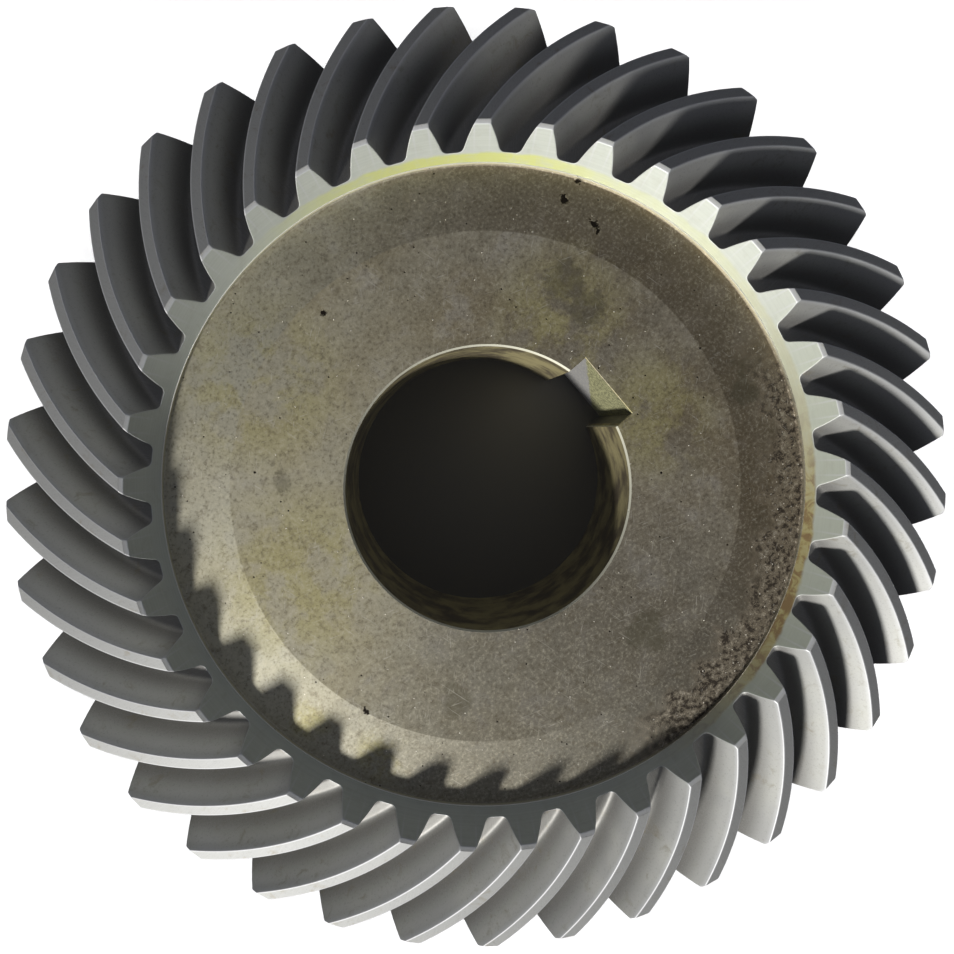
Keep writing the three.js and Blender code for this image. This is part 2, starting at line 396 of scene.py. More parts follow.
def tooth_turn(distance):
    """Angle that a tooth has turned through at a cone distance. It is negative: a right-hand spiral."""
    return (trace_angle(distance) - trace_angle(INNER_DISTANCE)) / math.sin(PITCH_ANGLE)


def half_tooth(distance, cut):
    """Half of a tooth's outline, from the middle of the slot's floor to the middle of the top land.

    Each point is (angle from the tooth's centre, height raised from the pitch cone). The top
    land lies lower by the cut, where the blank's end is chamfered.
    """
    scale = depth_scale(distance)
    from_toe = (distance - INNER_DISTANCE) / FACE_WIDTH
    top = ADDENDUM * scale
    floor = (ADDENDUM - WHOLE_DEPTH) * scale
    floor_radius = cone_point(distance, floor)[0]
    top_half = (TOP_LAND_AT_TOE + (TOP_LAND_AT_HEEL - TOP_LAND_AT_TOE) * from_toe) / 2
    root_half = (TOOTH_PITCH * floor_radius - SLOT_FLOOR) / 2 - ROOT_CORNER

    def flank(share):
        width = root_half + (top_half - root_half) * share + FLANK_BULGE * 4 * share * (1 - share)
        return np.array((width, floor + (top - floor) * share))

    slot_middle = np.array((TOOTH_PITCH * floor_radius / 2, floor))
    fillet_end = np.array((root_half + FILLET_REACH, floor))
    points = []
    for step in range(FLOOR_POINTS):
        points.append(slot_middle + (fillet_end - slot_middle) * step / FLOOR_POINTS)
    for step in range(FILLET_POINTS):
        points.append(curve(fillet_end, flank(0), flank(FILLET_SHARE), step / FILLET_POINTS))
    last_share = 1 - (cut + TIP_EDGE) / (top - floor)
    for step in range(FLANK_POINTS):
        points.append(flank(FILLET_SHARE + (last_share - FILLET_SHARE) * step / FLANK_POINTS))
    tip_corner = flank(1 - cut / (top - floor))
    tip_end = tip_corner - (TIP_EDGE, 0)
    for step in range(TIP_POINTS + 1):
        points.append(curve(flank(last_share), tip_corner, tip_end, step / TIP_POINTS))
    points.append(tip_end - (TIP_EDGE, 0))
    points.append(np.array((0.0, top - cut)))

    outline = np.array(points)
    outline[:, 0] /= cone_point(distance, outline[:, 1])[0]
    return outline


def tooth_outline(distance, cut, inset):
    """A whole pitch of the outline, from one slot to the next, moved into the solid by the inset."""
    half = half_tooth(distance, cut)
    mirrored = half[:-1][::-1] * (-1, 1)
    outline = np.vstack((half, mirrored))[:-1][::-1]
    if not inset:
        return outline
    radius = cone_point(distance, outline[:, 1])[0]
    before = np.roll(outline, 1, axis=0)
    after = np.roll(outline, -1, axis=0)
    before[0, 0] -= TOOTH_PITCH
    after[-1, 0] += TOOTH_PITCH
    along = after - before
    along[:, 0] *= radius
    along /= np.linalg.norm(along, axis=1)[:, None]
    moved = outline.copy()
    moved[:, 0] += along[:, 1] * inset / radius
    moved[:, 1] -= along[:, 0] * inset
    return moved


def toothed_row(distance, cut=0.0, inset=0.0):
    """Angles and raised heights of all teeth at a cone distance."""
    outline = tooth_outline(distance, cut, inset)
    centres = FIRST_TOE_ANGLE + tooth_turn(distance) + TOOTH_PITCH * np.arange(TEETH)
    angles = (centres[:, None] + outline[None, :, 0]).ravel()
    return angles, np.tile(outline[:, 1], TEETH)


def ring_points(distance, angles, raised):
    radius, height = cone_point(distance, raised)
    return zip(radius * np.cos(angles), radius * np.sin(angles), np.broadcast_to(height, angles.shape))


def seat_edge():
    """Radius and height of the ring's seat where it meets the cone of the toes."""
    toe_floor = (ADDENDUM - WHOLE_DEPTH) * depth_scale(INNER_DISTANCE)
    return cone_point(INNER_DISTANCE, toe_floor - LAND_BELOW_TOE_ROOT)


def station_list():
    """Cone distance, cut of the top land and inset of the outline, from toe to heel."""
    toe = [(INNER_DISTANCE + END_EDGE * run, TOE_CHAMFER - END_EDGE * run, END_EDGE * inset)
           for run, inset in END_ROUNDING]
    heel = [(OUTER_DISTANCE - END_EDGE * run, HEEL_CHAMFER - END_EDGE * run, END_EDGE * inset)
            for run, inset in reversed(END_ROUNDING)]
    first = INNER_DISTANCE + TOE_CHAMFER
    last = OUTER_DISTANCE - HEEL_CHAMFER
    between = [(distance, 0.0, 0.0) for distance in np.linspace(first, last, STATIONS)]
    return toe + between + heel


def toothed_ring_shell():
    """The ring with its teeth and blind holes, and the points on its worn edges."""
    shell = Shell()
    rows = []
    for distance, cut, inset in station_list():
        rows.append(shell.row(ring_points(distance, *toothed_row(distance, cut, inset))))

    toe_angles, toe_raised = toothed_row(INNER_DISTANCE, TOE_CHAMFER, END_EDGE)
    heel_angles = toothed_row(OUTER_DISTANCE, HEEL_CHAMFER, END_EDGE)[0]
    seat_radius = seat_edge()[0]
    seat_raised = (seat_radius - cone_point(INNER_DISTANCE, 0)[0]) / math.cos(PITCH_ANGLE)
    rim_raised = ADDENDUM - WHOLE_DEPTH - RIM_BELOW_HEEL_ROOT
    rim_radius = cone_point(OUTER_DISTANCE, rim_raised)[0]

    toe_floor = toe_raised.min()
    toe_cone = []
    for share in TOE_CONE_SHARES:
        raised = np.minimum(toe_raised, toe_floor) + (seat_raised - toe_floor) * share
        toe_cone.append(shell.row(ring_points(INNER_DISTANCE, toe_angles, raised)))
    heel_cone = [shell.row(ring_points(OUTER_DISTANCE, heel_angles, np.full(heel_angles.shape, rim_raised)))]

    wall = [(seat_radius, RING_BACK + RING_EDGE), (seat_radius + RING_EDGE, RING_BACK)]
    seat = [shell.row(turned_row(radius, height, toe_angles)) for radius, height in wall]
    edge = [(rim_radius - RING_EDGE, RING_BACK), (rim_radius, RING_BACK + RING_EDGE)]
    rim = [shell.row(turned_row(radius, height, heel_angles)) for radius, height in edge]

    shell.bands(seat[::-1] + toe_cone[::-1] + rows + heel_cone + rim[::-1])
    screw_holes = [hole_row(shell, place, TAPPED_HOLE, RING_BACK) for place in screw_places()]
    dowel_holes = [hole_row(shell, place, DOWEL_RADIUS + DOWEL_FIT, RING_BACK) for place in dowel_places()]
    shell.plate(rim[0], seat[-1], screw_holes + dowel_holes, False)
    dowel_depth = FLANGE_BACK + DOWEL_ABOVE_FLANGE_BACK + DOWEL_LENGTH + DOWEL_FIT - RING_BACK
    blind_holes(shell, screw_places(), screw_holes, TAPPED_HOLE, TAPPED_HOLE_DEPTH)
    blind_holes(shell, dowel_places(), dowel_holes, DOWEL_RADIUS + DOWEL_FIT, dowel_depth)

    return shell, worn_points(rows)


def worn_points(rows):
    """The points on both edges of each top land, on the edges of the ends and on the end chamfers."""
    per_tooth = len(rows[0]) // TEETH
    first = FLOOR_POINTS + FILLET_POINTS + FLANK_POINTS - 1
    crown = range(first, per_tooth - 1 - first)
    tips = set(crown[:TIP_POINTS + 1]) | set(crown[-TIP_POINTS - 1:])

    def among(chosen_rows, chosen):
        numbered = [pair for row in chosen_rows for pair in enumerate(row)]
        return [index for number, index in numbered if number % per_tooth in chosen]

    return among(rows, tips) + among((rows[2], rows[-3]), crown) + rows[1] + rows[-2]


def blind_holes(shell, places, mouths, radius, depth):
    """Walls and flat ends for holes whose mouths are in the ring's back."""
    for place, mouth in zip(places, mouths):
        end = hole_row(shell, place, radius, RING_BACK + depth)
        shell.band(end, mouth)
        shell.disc(end, False)


# ---------------- hub

BORE_POINTS = 200
WALL_POINTS = 4
KEY_FLOOR_POINTS = 12
FACE_EDGE = 0.2
FACE_EDGE_DROP = 0.03
LIP_EDGE = 0.05


def bore_outline(chamfer, deburr):
    """The bore with its keyway, as (x, y, is on the keyway) in turning order from the keyway's floor."""
    radius = BORE_RADIUS + chamfer
    half = KEYWAY_HALF + deburr
    floor = KEYWAY_FLOOR + deburr
    corner = math.asin(half / radius)
    side = []
    for step in range(WALL_POINTS + 1):
        share = step / WALL_POINTS
        side.append((floor + (radius * math.cos(corner) - floor) * share, half, share < 1))
    arc = [(radius * math.cos(angle), radius * math.sin(angle), False)
           for angle in np.linspace(corner, 2 * math.pi - corner, BORE_POINTS)[1:-1]]
    other_side = [(x, -y, on_key) for x, y, on_key in reversed(side)]
    bottom = [(floor, half * (2 * step / KEY_FLOOR_POINTS - 1), True) for step in range(1, KEY_FLOOR_POINTS)]
    return side + arc + other_side + bottom


def bore_rows(shell, face, inwards):
    """The rows at one mouth of the bore: on the wall below the chamfer, and on the face."""
    wall = []
    for x, y, on_key in bore_outline(0, 0):
        drop = KEYWAY_DEBURR if on_key and math.hypot(x, y) > BORE_RADIUS + BORE_CHAMFER else BORE_CHAMFER
        wall.append((x, y, face + inwards * drop))
    edge = [(x, y, face) for x, y, _ in bore_outline(BORE_CHAMFER, KEYWAY_DEBURR)]
    return shell.row(wall), shell.row(edge)


def hub_shell():
    """The hub: keyed bore, flat face, conical ring, step, flange with its holes, and boss."""
    shell = Shell()
    front_wall, front_edge = bore_rows(shell, FRONT_FACE, -1)
    back_wall, back_edge = bore_rows(shell, 0, 1)
    angles = [math.atan2(shell.points[index][1], shell.points[index][0]) for index in front_edge]

    seat_radius, seat_top = seat_edge()
    spigot = seat_radius - SEAT_FIT
    lip = spigot - LIP_WIDTH
    recess_floor = FRONT_FACE - CONE_DROP
    flange_front = RING_BACK - SEAT_FIT
    front = rounded([
        (0, FRONT_FACE),
        (FRONT_FACE_RADIUS - FACE_EDGE, FRONT_FACE),
        (FRONT_FACE_RADIUS + FACE_EDGE, FRONT_FACE - FACE_EDGE_DROP),
        (lip - WALL_SLOPE, recess_floor, RECESS_FILLET),
        (lip, seat_top - SEAT_FIT, LIP_EDGE),
        (spigot, seat_top - SEAT_FIT),
        (spigot, flange_front),
        (FLANGE_RADIUS - EDGE_CHAMFER, flange_front),
    ], steps=6)[1:]
    rim = rounded([
        (FLANGE_RADIUS, flange_front - EDGE_CHAMFER),
        (FLANGE_RADIUS, FLANGE_BACK + EDGE_CHAMFER),
        (FLANGE_RADIUS - EDGE_CHAMFER, FLANGE_BACK),
    ])
    boss = rounded([
        (FLANGE_RADIUS, FLANGE_BACK),
        (BOSS_RADIUS, FLANGE_BACK, BOSS_FILLET),
        (BOSS_RADIUS, EDGE_CHAMFER),
        (BOSS_RADIUS - EDGE_CHAMFER, 0),
        (0, 0),
    ], steps=8)[1:-1]

    def rows_of(section):
        return [shell.row(turned_row(radius, height, angles)) for radius, height in section]

    front_rows, rim_rows, boss_rows = rows_of(front), rows_of(rim), rows_of(boss)
    flange_front_outer = front_rows.pop()
    spigot_foot = front_rows[-1]
    shell.bands([back_edge, back_wall, front_wall, front_edge] + front_rows)
    shell.bands([flange_front_outer] + rim_rows)
    shell.bands(boss_rows + [back_edge])

    holes = [(place, CLEARANCE_HOLE) for place in screw_places()]
    holes += [(place, DOWEL_RADIUS + DOWEL_FIT) for place in dowel_places()]
    front_holes = [hole_row(shell, place, radius, flange_front) for place, radius in holes]
    back_holes = [hole_row(shell, place, radius, FLANGE_BACK) for place, radius in holes]
    shell.plate(flange_front_outer, spigot_foot, front_holes, True)
    shell.plate(rim_rows[-1], boss_rows[0], back_holes, False)
    for front_hole, back_hole in zip(front_holes, back_holes):
        shell.band(back_hole, front_hole)
    return shell


# ---------------- fasteners

HEAD_POINTS = 72
DOWEL_POINTS = 48
THREAD_STEPS = 10
HEAD_CORNER = 0.985 * HEAD_HALF_FLATS / math.cos(math.pi / 6)
HEAD_FACE = 0.94 * HEAD_HALF_FLATS
HEAD_CHAMFER_SLOPE = math.tan(math.radians(30))
DISH_RADIUS = 0.8 * HEAD_FACE
DISH_EDGE = 0.86 * HEAD_FACE
DISH_DEPTH = 0.25
WASHER_FACE = 0.96 * HEAD_HALF_FLATS
WASHER_FACE_HEIGHT = 0.5
NECK_FILLET = 0.5
GROOVE_SIDE = 3
GROOVE_REACH = 1.3
DOWEL_END = 0.7 * DOWEL_RADIUS
DOWEL_DOME = 0.6
DOWEL_DOME_HEIGHT = 0.3


def hexagon_radius(angle):
    """Distance from the axis to a hexagon's side, with its corners taken off a little."""
    from_flat = (angle + math.pi / 6) % (math.pi / 3) - math.pi / 6
    return min(HEAD_HALF_FLATS / math.cos(from_flat), HEAD_CORNER)


def screw_shell():
    """A hexagon screw with a washer face, a plain neck and a rolled thread. Its head is at the bottom."""
    shell = Shell()
    bottom = HEAD_TOP - HEAD_HEIGHT
    angles = circle_angles(HEAD_POINTS)
    radii = [hexagon_radius(angle) for angle in angles]

    def hexagon_row(height_of):
        return shell.row((radius * math.cos(angle), radius * math.sin(angle), height_of(radius))
                         for radius, angle in zip(radii, angles))

    def circle(radius, height):
        return shell.row(turned_row(radius, height, angles))

    dish = circle(DISH_RADIUS, bottom + DISH_DEPTH)
    crown = circle(DISH_EDGE, bottom)
    face = circle(HEAD_FACE, bottom)
    chamfered = hexagon_row(lambda radius: bottom + (radius - HEAD_FACE) * HEAD_CHAMFER_SLOPE)
    shoulder = hexagon_row(lambda radius: HEAD_TOP - WASHER_FACE_HEIGHT)
    washer_face = [circle(WASHER_FACE, height) for height in (HEAD_TOP - WASHER_FACE_HEIGHT, HEAD_TOP)]
    neck_foot = circle(THREAD_CREST + NECK_FILLET, HEAD_TOP)
    neck = circle(THREAD_CREST, HEAD_TOP + NECK_FILLET)
    shell.disc(dish, False)
    rows = [dish, crown, face, chamfered, shoulder] + washer_face + [neck_foot, neck]

    end = HEAD_TOP + SCREW_LENGTH
    start = end - THREAD_LENGTH
    rows.append(circle(THREAD_CREST, start - THREAD_PITCH))
    turns = THREAD_LENGTH / THREAD_PITCH
    for step in range(int(turns * THREAD_STEPS) + 1):
        height = start + step * THREAD_PITCH / THREAD_STEPS
        limit = THREAD_CREST - max(0, height - (end - POINT_CHAMFER))
        rows.append(shell.row(thread_row(height, limit, angles)))
    shell.bands(rows)
    shell.disc(rows[-1], True)
    return shell


def thread_row(height, limit, angles):
    """A row of a 60 degree thread: the groove runs round as a helix."""
    depth = THREAD_CREST - THREAD_ROOT
    for angle in angles:
        phase = (height / THREAD_PITCH - angle / (2 * math.pi)) % 1
        groove = max(0.0, min(1.0, GROOVE_REACH - abs(phase - 0.5) * GROOVE_SIDE))
        radius = min(THREAD_CREST - depth * groove, limit)
        yield radius * math.cos(angle), radius * math.sin(angle), height


def washer_shell():
    bottom = WASHER_TOP - WASHER_THICKNESS
    return lathe(rounded([
        (CLEARANCE_HOLE, bottom, 0.3),
        (WASHER_RADIUS, bottom, 0.5),
        (WASHER_RADIUS, WASHER_TOP, 0.2),
        (CLEARANCE_HOLE, WASHER_TOP, 0.2),
    ]), HEAD_POINTS)


def dowel_shell():
    bottom = FLANGE_BACK + DOWEL_ABOVE_FLANGE_BACK
    top = bottom + DOWEL_LENGTH
    return spindle(rounded([
        (DOWEL_END, bottom),
        (DOWEL_RADIUS - DOWEL_DOME, bottom + DOWEL_DOME_HEIGHT, 0.5),
        (DOWEL_RADIUS, bottom + POINT_CHAMFER, DOWEL_DOME),
        (DOWEL_RADIUS, top - POINT_CHAMFER, DOWEL_DOME),
        (DOWEL_RADIUS - DOWEL_DOME, top, 0.4),
        (DOWEL_END, top),
    ]), DOWEL_POINTS)


# ---------------- materials


class Surface:
    """The nodes of one metal, built up value by value. Lengths in its coordinates are in metres."""

    def __init__(self, name):
        self.material = bpy.data.materials.new(name)
        self.material.use_nodes = True
        self.tree = self.material.node_tree
        self.shader = self.tree.nodes["Principled BSDF"]
        self.place = self.node("TexCoord").outputs["Object"]
        split = self.node("SeparateXYZ", {0: self.place})
        self.x, self.y, self.z = split.outputs
        self.radius = self.root(self.add(self.times(self.x, self.x), self.times(self.y, self.y)))
        self.angle = self.math("ARCTAN2", self.y, self.x)

    def node(self, kind, inputs=None, **settings):
        made = self.tree.nodes.new("ShaderNode" + kind)
        for name, value in settings.items():
            setattr(made, name, value)
        for socket, value in (inputs or {}).items():
            self.feed(made.inputs[socket], value)
        return made

    def feed(self, socket, value):
        if isinstance(value, bpy.types.NodeSocket):
            self.tree.links.new(value, socket)
        else:
            socket.default_value = value

    def math(self, operation, first, second=0.0, clamp=False):
        return self.node("Math", {0: first, 1: second}, operation=operation, use_clamp=clamp).outputs[0]

    def add(self, first, second):
        return self.math("ADD", first, second)

    def times(self, first, second):
        return self.math("MULTIPLY", first, second)

    def root(self, value):
        return self.math("SQRT", value)

    def either(self, first, second):
        return self.math("MAXIMUM", first, second)

    def without(self, mask):
        return self.math("SUBTRACT", 1.0, mask)

    def span(self, value, low, high, to_low=0.0, to_high=1.0):
        """A smooth change from one number to another while the value goes from low to high."""
        inputs = {"Value": value, "From Min": low, "From Max": high, "To Min": to_low, "To Max": to_high}
        return self.node("MapRange", inputs, interpolation_type="SMOOTHSTEP").outputs["Result"]

    def vector(self, x, y, z):
        return self.node("CombineXYZ", {0: x, 1: y, 2: z}).outputs[0]

    def noise(self, size, detail=3.0, roughness=0.5, distortion=0.0, at=None):
        """Noise from 0 to 1 with blotches of about the size, in mm."""
        inputs = {
            "Vector": self.place if at is None else at,
            "Scale": 1 / (size * MM),
            "Detail": detail,
            "Roughness": roughness,
            "Distortion": distortion,
        }
        return self.node("TexNoise", inputs).outputs["Fac"]

    def cells(self, size, at=None):
        """Distance to the nearest of many dots, about the size in mm apart, and a number for each."""
        inputs = {"Vector": self.place if at is None else at, "Scale": 1 / (size * MM)}
        made = self.node("TexVoronoi", inputs)
        return made.outputs["Distance"], self.node("SeparateColor", {0: made.outputs["Color"]}).outputs[0]

    def dots(self, size, reach, share, at=None):
        """Scattered round dots. The share says how many of the cells hold one."""
        distance, number = self.cells(size, at)
        inside = self.span(distance, reach, reach * 0.6)
        return self.times(inside, self.span(number, 1 - share, 1 - share + 0.01))

    def scratches(self, degrees, width, length, share):
        """Fine straight scratches in one direction, in patches."""
        turned = self.node("VectorRotate", {"Vector": self.place, "Angle": math.radians(degrees)},
                           rotation_type="Z_AXIS")
        stretched = self.node("VectorMath", {0: turned.outputs[0], 1: (width / length, 1, 1)},
                              operation="MULTIPLY").outputs[0]
        lines = self.noise(width, 1.0, 0.4, at=stretched)
        return self.span(lines, 1 - share, 1 - share + 0.06)

    def turning_marks(self, pitch):
        """Fine grooves round the axis, as a lathe leaves them."""
        at = self.vector(self.radius, self.times(self.angle, 0.0004), self.z)
        return self.noise(pitch, 2.0, 0.6, at=at)

    def blob(self, direction, distance, size, softness, waves):
        """A round patch on the front face at a direction in the picture and a distance from the axis."""
        turn = math.radians(direction) - KEYWAY_IN_PICTURE
        x = distance * math.cos(turn) * MM
        y = distance * math.sin(turn) * MM
        dx, dy = self.add(self.x, -x), self.add(self.y, -y)
        away = self.add(self.root(self.add(self.times(dx, dx), self.times(dy, dy))), waves)
        return self.span(away, size * MM * (1 + softness), size * MM * (1 - softness))

    def blobs(self, places, softness=0.6, waves=0.0):
        """Several round patches, each given as direction, distance and size."""
        mask = 0.0
        for direction, distance, size in places:
            mask = self.either(mask, self.blob(direction, distance, size, softness, waves))
        return mask

    def towards(self, direction):
        """Cosine of the angle round the axis between a point and a direction in the picture."""
        return self.math("COSINE", self.add(self.angle, KEYWAY_IN_PICTURE - math.radians(direction)))

    def arc(self, direction, half_width, softness=12):
        """A sector round a direction in the picture, in degrees."""
        inner = math.cos(math.radians(half_width - softness))
        outer = math.cos(math.radians(half_width + softness))
        return self.span(self.towards(direction), outer, inner)

    def mix(self, mask, first, second, share=1.0):
        """Second over first where the mask is 1, and there by the share. Both are colours."""
        if share < 1:
            mask = self.times(mask, share)
        made = self.node("Mix", data_type="RGBA")
        self.feed(made.inputs[0], mask)
        for socket, colour in ((made.inputs[6], first), (made.inputs[7], second)):
            self.feed(socket, colour if isinstance(colour, bpy.types.NodeSocket) else (*colour, 1))
        return made.outputs[2]

    def blend(self, mask, first, second):
        """Second over first where the mask is 1. Both are numbers."""
        made = self.node("Mix", data_type="FLOAT")
        for socket, value in ((made.inputs[0], mask), (made.inputs[2], first), (made.inputs[3], second)):
            self.feed(socket, value)
        return made.outputs[0]

    def finish(self, colour, roughness, relief, relief_height, metallic=1.0):
        """Feeds the shader. The relief is a number from 0 to 1 that stands for a height in mm."""
        bump = self.node("Bump", {"Strength": 1.0, "Distance": relief_height * MM, "Height": relief})
        self.feed(self.shader.inputs["Base Color"], colour)
        self.feed(self.shader.inputs["Roughness"], roughness)
        self.feed(self.shader.inputs["Metallic"], metallic)
        self.feed(self.shader.inputs["Normal"], bump.outputs["Normal"])
        return self.material


# Colours of the toothed ring's steel, linear
FLANK_GREY = (0.52, 0.53, 0.525)
FLANK_WARM_GREY = (0.56, 0.57, 0.545)
# Painted shade for the flanks near the roots of the teeth
ROOT_PAINTED_SHADE = (0.3, 0.3, 0.29)
LAND_GREY = (0.41, 0.42, 0.42)
TOOTH_STAIN = (0.28, 0.25, 0.18)
CUT_LINE = (0.6, 0.6, 0.6)
DARK_GRAIN = (0.2, 0.2, 0.2)
TOE_STEEL = (0.57, 0.61, 0.57)
TOE_STEEL_LIGHT = (0.6, 0.64, 0.6)
TOE_GREEN_TINT = (0.47, 0.52, 0.4)
TOE_STAIN = (0.42, 0.43, 0.36)
YELLOW_OIL = (0.66, 0.7, 0.26)
BROWN_OIL = (0.5, 0.43, 0.18)
OLD_OIL = (0.3, 0.2, 0.09)
WORN_EDGE = (0.68, 0.7, 0.73)


def make_tooth_steel():
    """Cut steel: clean on the cone of the toes, duller on the flanks, with painted shade that darkens the
    flanks towards the roots.
    """
    steel = Surface("tooth_steel")
    from_apex = steel.add(steel.z, -APEX_HEIGHT * MM)
    sine, cosine = math.sin(PITCH_ANGLE), math.cos(PITCH_ANGLE)
    raised = steel.add(steel.times(steel.radius, cosine), steel.times(from_apex, sine))
    distance = steel.add(steel.times(steel.radius, sine), steel.times(from_apex, -cosine))
    toe_cone = steel.span(distance, (INNER_DISTANCE + 0.25) * MM, (INNER_DISTANCE + 0.05) * MM)
    taper = DEPTH_TAPER * ADDENDUM / OUTER_DISTANCE
    top = steel.add(steel.times(distance, taper), (1 - DEPTH_TAPER) * ADDENDUM * MM)
    below_top = steel.math("SUBTRACT", top, raised)
    land = steel.span(below_top, 0.2 * MM, 0.1 * MM)
    # Painted shade: the flanks grow darker from 3 mm below the top land down to the roots, where the
    # neighbouring teeth shade them
    root = steel.span(below_top, 3 * MM, 13 * MM)

    cloud = steel.noise(35, detail=4.0, roughness=0.6, distortion=0.6)
    mottle = steel.noise(6, detail=5.0, roughness=0.65, distortion=0.8)
    grain = steel.noise(0.8, detail=3.0, roughness=0.6)
    along_tooth = steel.vector(raised, steel.times(distance, 0.02), steel.angle)
    lines = steel.noise(0.5, detail=2.0, roughness=0.6, at=along_tooth)
    turned = steel.turning_marks(0.8)

    flank = steel.mix(steel.span(cloud, 0.35, 0.7), FLANK_GREY, FLANK_WARM_GREY)
    flank = steel.mix(root, flank, ROOT_PAINTED_SHADE)
    flank = steel.mix(land, flank, LAND_GREY)
    stain = steel.times(steel.span(mottle, 0.52, 0.72), steel.span(cloud, 0.46, 0.58))
    flank = steel.mix(stain, flank, TOOTH_STAIN, 0.5)
    flank = steel.mix(steel.span(lines, 0.5, 0.72), flank, CUT_LINE, 0.3)
    flank = steel.mix(steel.span(grain, 0.55, 0.75), flank, DARK_GRAIN, 0.35)

    clean = steel.mix(steel.span(turned, 0.3, 0.7), TOE_STEEL, TOE_STEEL_LIGHT)
    clean = steel.mix(steel.arc(-10, 35), clean, TOE_GREEN_TINT, 0.4)
    clean = steel.mix(steel.span(mottle, 0.5, 0.7), clean, TOE_STAIN, 0.2)
    toe_floor = (ADDENDUM - WHOLE_DEPTH) * depth_scale(INNER_DISTANCE)
    wavy = steel.add(raised, steel.times(steel.add(steel.noise(9), -0.5), 4 * MM))
    oiled = steel.span(wavy, (toe_floor + 0.6) * MM, (toe_floor - 1.2) * MM)
    oiled = steel.times(oiled, steel.arc(40, 82, softness=20))
    oiled = steel.times(oiled, steel.without(steel.times(steel.arc(40, 30, softness=16), 0.7)))
    oil = steel.mix(steel.arc(-20, 50, softness=25), YELLOW_OIL, BROWN_OIL)
    oil = steel.mix(steel.times(steel.span(mottle, 0.45, 0.6), steel.arc(-25, 35, softness=15)), oil, OLD_OIL)
    clean = steel.mix(steel.times(oiled, steel.span(mottle, 0.25, 0.55, 0.55, 0.95)), clean, oil)
    colour = steel.mix(toe_cone, flank, clean)
    edge = steel.node("Attribute", attribute_name="edge_wear").outputs["Fac"]
    colour = steel.mix(edge, colour, WORN_EDGE, 0.55)

    rough = steel.add(steel.span(cloud, 0.3, 0.7, 0.54, 0.62), steel.times(grain, 0.1))
    rough = steel.blend(land, rough, 0.68)
    rough = steel.blend(toe_cone, rough, steel.span(turned, 0.3, 0.7, 0.62, 0.55))
    relief = steel.blend(toe_cone, steel.add(steel.times(lines, 0.4), steel.times(grain, 0.6)), turned)
    return steel.finish(colour, rough, relief, 0.015, steel.blend(toe_cone, 0.85, 0.45))


# Colours of the hub's steel, linear
PATINA_BROWN = (0.36, 0.325, 0.25)
PATINA_DARK_BROWN = (0.3, 0.255, 0.175)
# Paler patina for the lower left of the front: the patina's own olive, made paler as painted light
PATINA_LIT_PALE = (0.52, 0.495, 0.385)
PATINA_LIT_OLIVE = (0.48, 0.44, 0.31)
BARE_PATCH = (0.47, 0.46, 0.44)
# Painted shade and painted light for the conical ring round the flat face
RING_PAINTED_SHADE = (0.2, 0.16, 0.105)
RING_PAINTED_LIGHT = (0.56, 0.56, 0.48)
SHADED_BROWN = (0.2, 0.19, 0.165)
OLIVE_OIL = (0.46, 0.42, 0.17)
MOTTLE_DARK = (0.2, 0.17, 0.115)
FLECK_LIGHT = (0.68, 0.65, 0.52)
FLECK_DARK = (0.13, 0.11, 0.07)
STAIN_DARK = (0.14, 0.13, 0.085)
GRIME_BASE = (0.2, 0.17, 0.125)
GRIME_DARK = (0.045, 0.035, 0.025)
GRIME_LIGHT = (0.5, 0.45, 0.36)
STEP_WALL = (0.68, 0.65, 0.46)
STEP_LIP = (0.85, 0.85, 0.78)
SCRATCH_BRIGHT = (0.72, 0.7, 0.62)
PIT_BLACK = (0.03, 0.025, 0.02)
SPECK_WHITE = (0.9, 0.87, 0.78)
# Painted shade for the bore's wall
BORE_PAINTED_SHADE = (0.12, 0.1, 0.065)
BORE_RUST = (0.36, 0.32, 0.17)
CHAMFER_STEEL = (0.6, 0.6, 0.5)
KEYWAY_DARK = (0.22, 0.22, 0.13)
KEYWAY_OIL = (0.5, 0.5, 0.28)
KEYWAY_FILM = (0.4, 0.4, 0.46)
# Painted shade for the keyway's side walls
KEYWAY_WALL_PAINTED_SHADE = (0.11, 0.105, 0.08)

# On the hub's front: direction in the picture (degrees), distance from the axis and size (mm)
OIL_STAINS = (
    (66, 72, 24), (25, 70, 22), (205, 78, 30), (155, 95, 28), (248, 112, 9), (232, 114, 8),
)
DARK_STAINS = (
    (70, 86, 8), (61, 80, 7), (178, 79, 5), (24.5, 112, 5), (21, 108, 4), (262, 84, 7), (318, 84, 8),
)
DARK_MARKS = (
    (75.5, 115, 1.6), (68.5, 110, 1.7), (73.5, 123, 1.0), (67, 108, 1.0), (241, 98, 1.3), (133, 92, 1.3),
)
# Fine scratches: direction (degrees), width and length (mm)
SCRATCHES = ((20, 0.45, 8), (-35, 0.4, 6), (75, 0.4, 10), (130, 0.45, 5))
SCRATCH_SHARE = 0.29


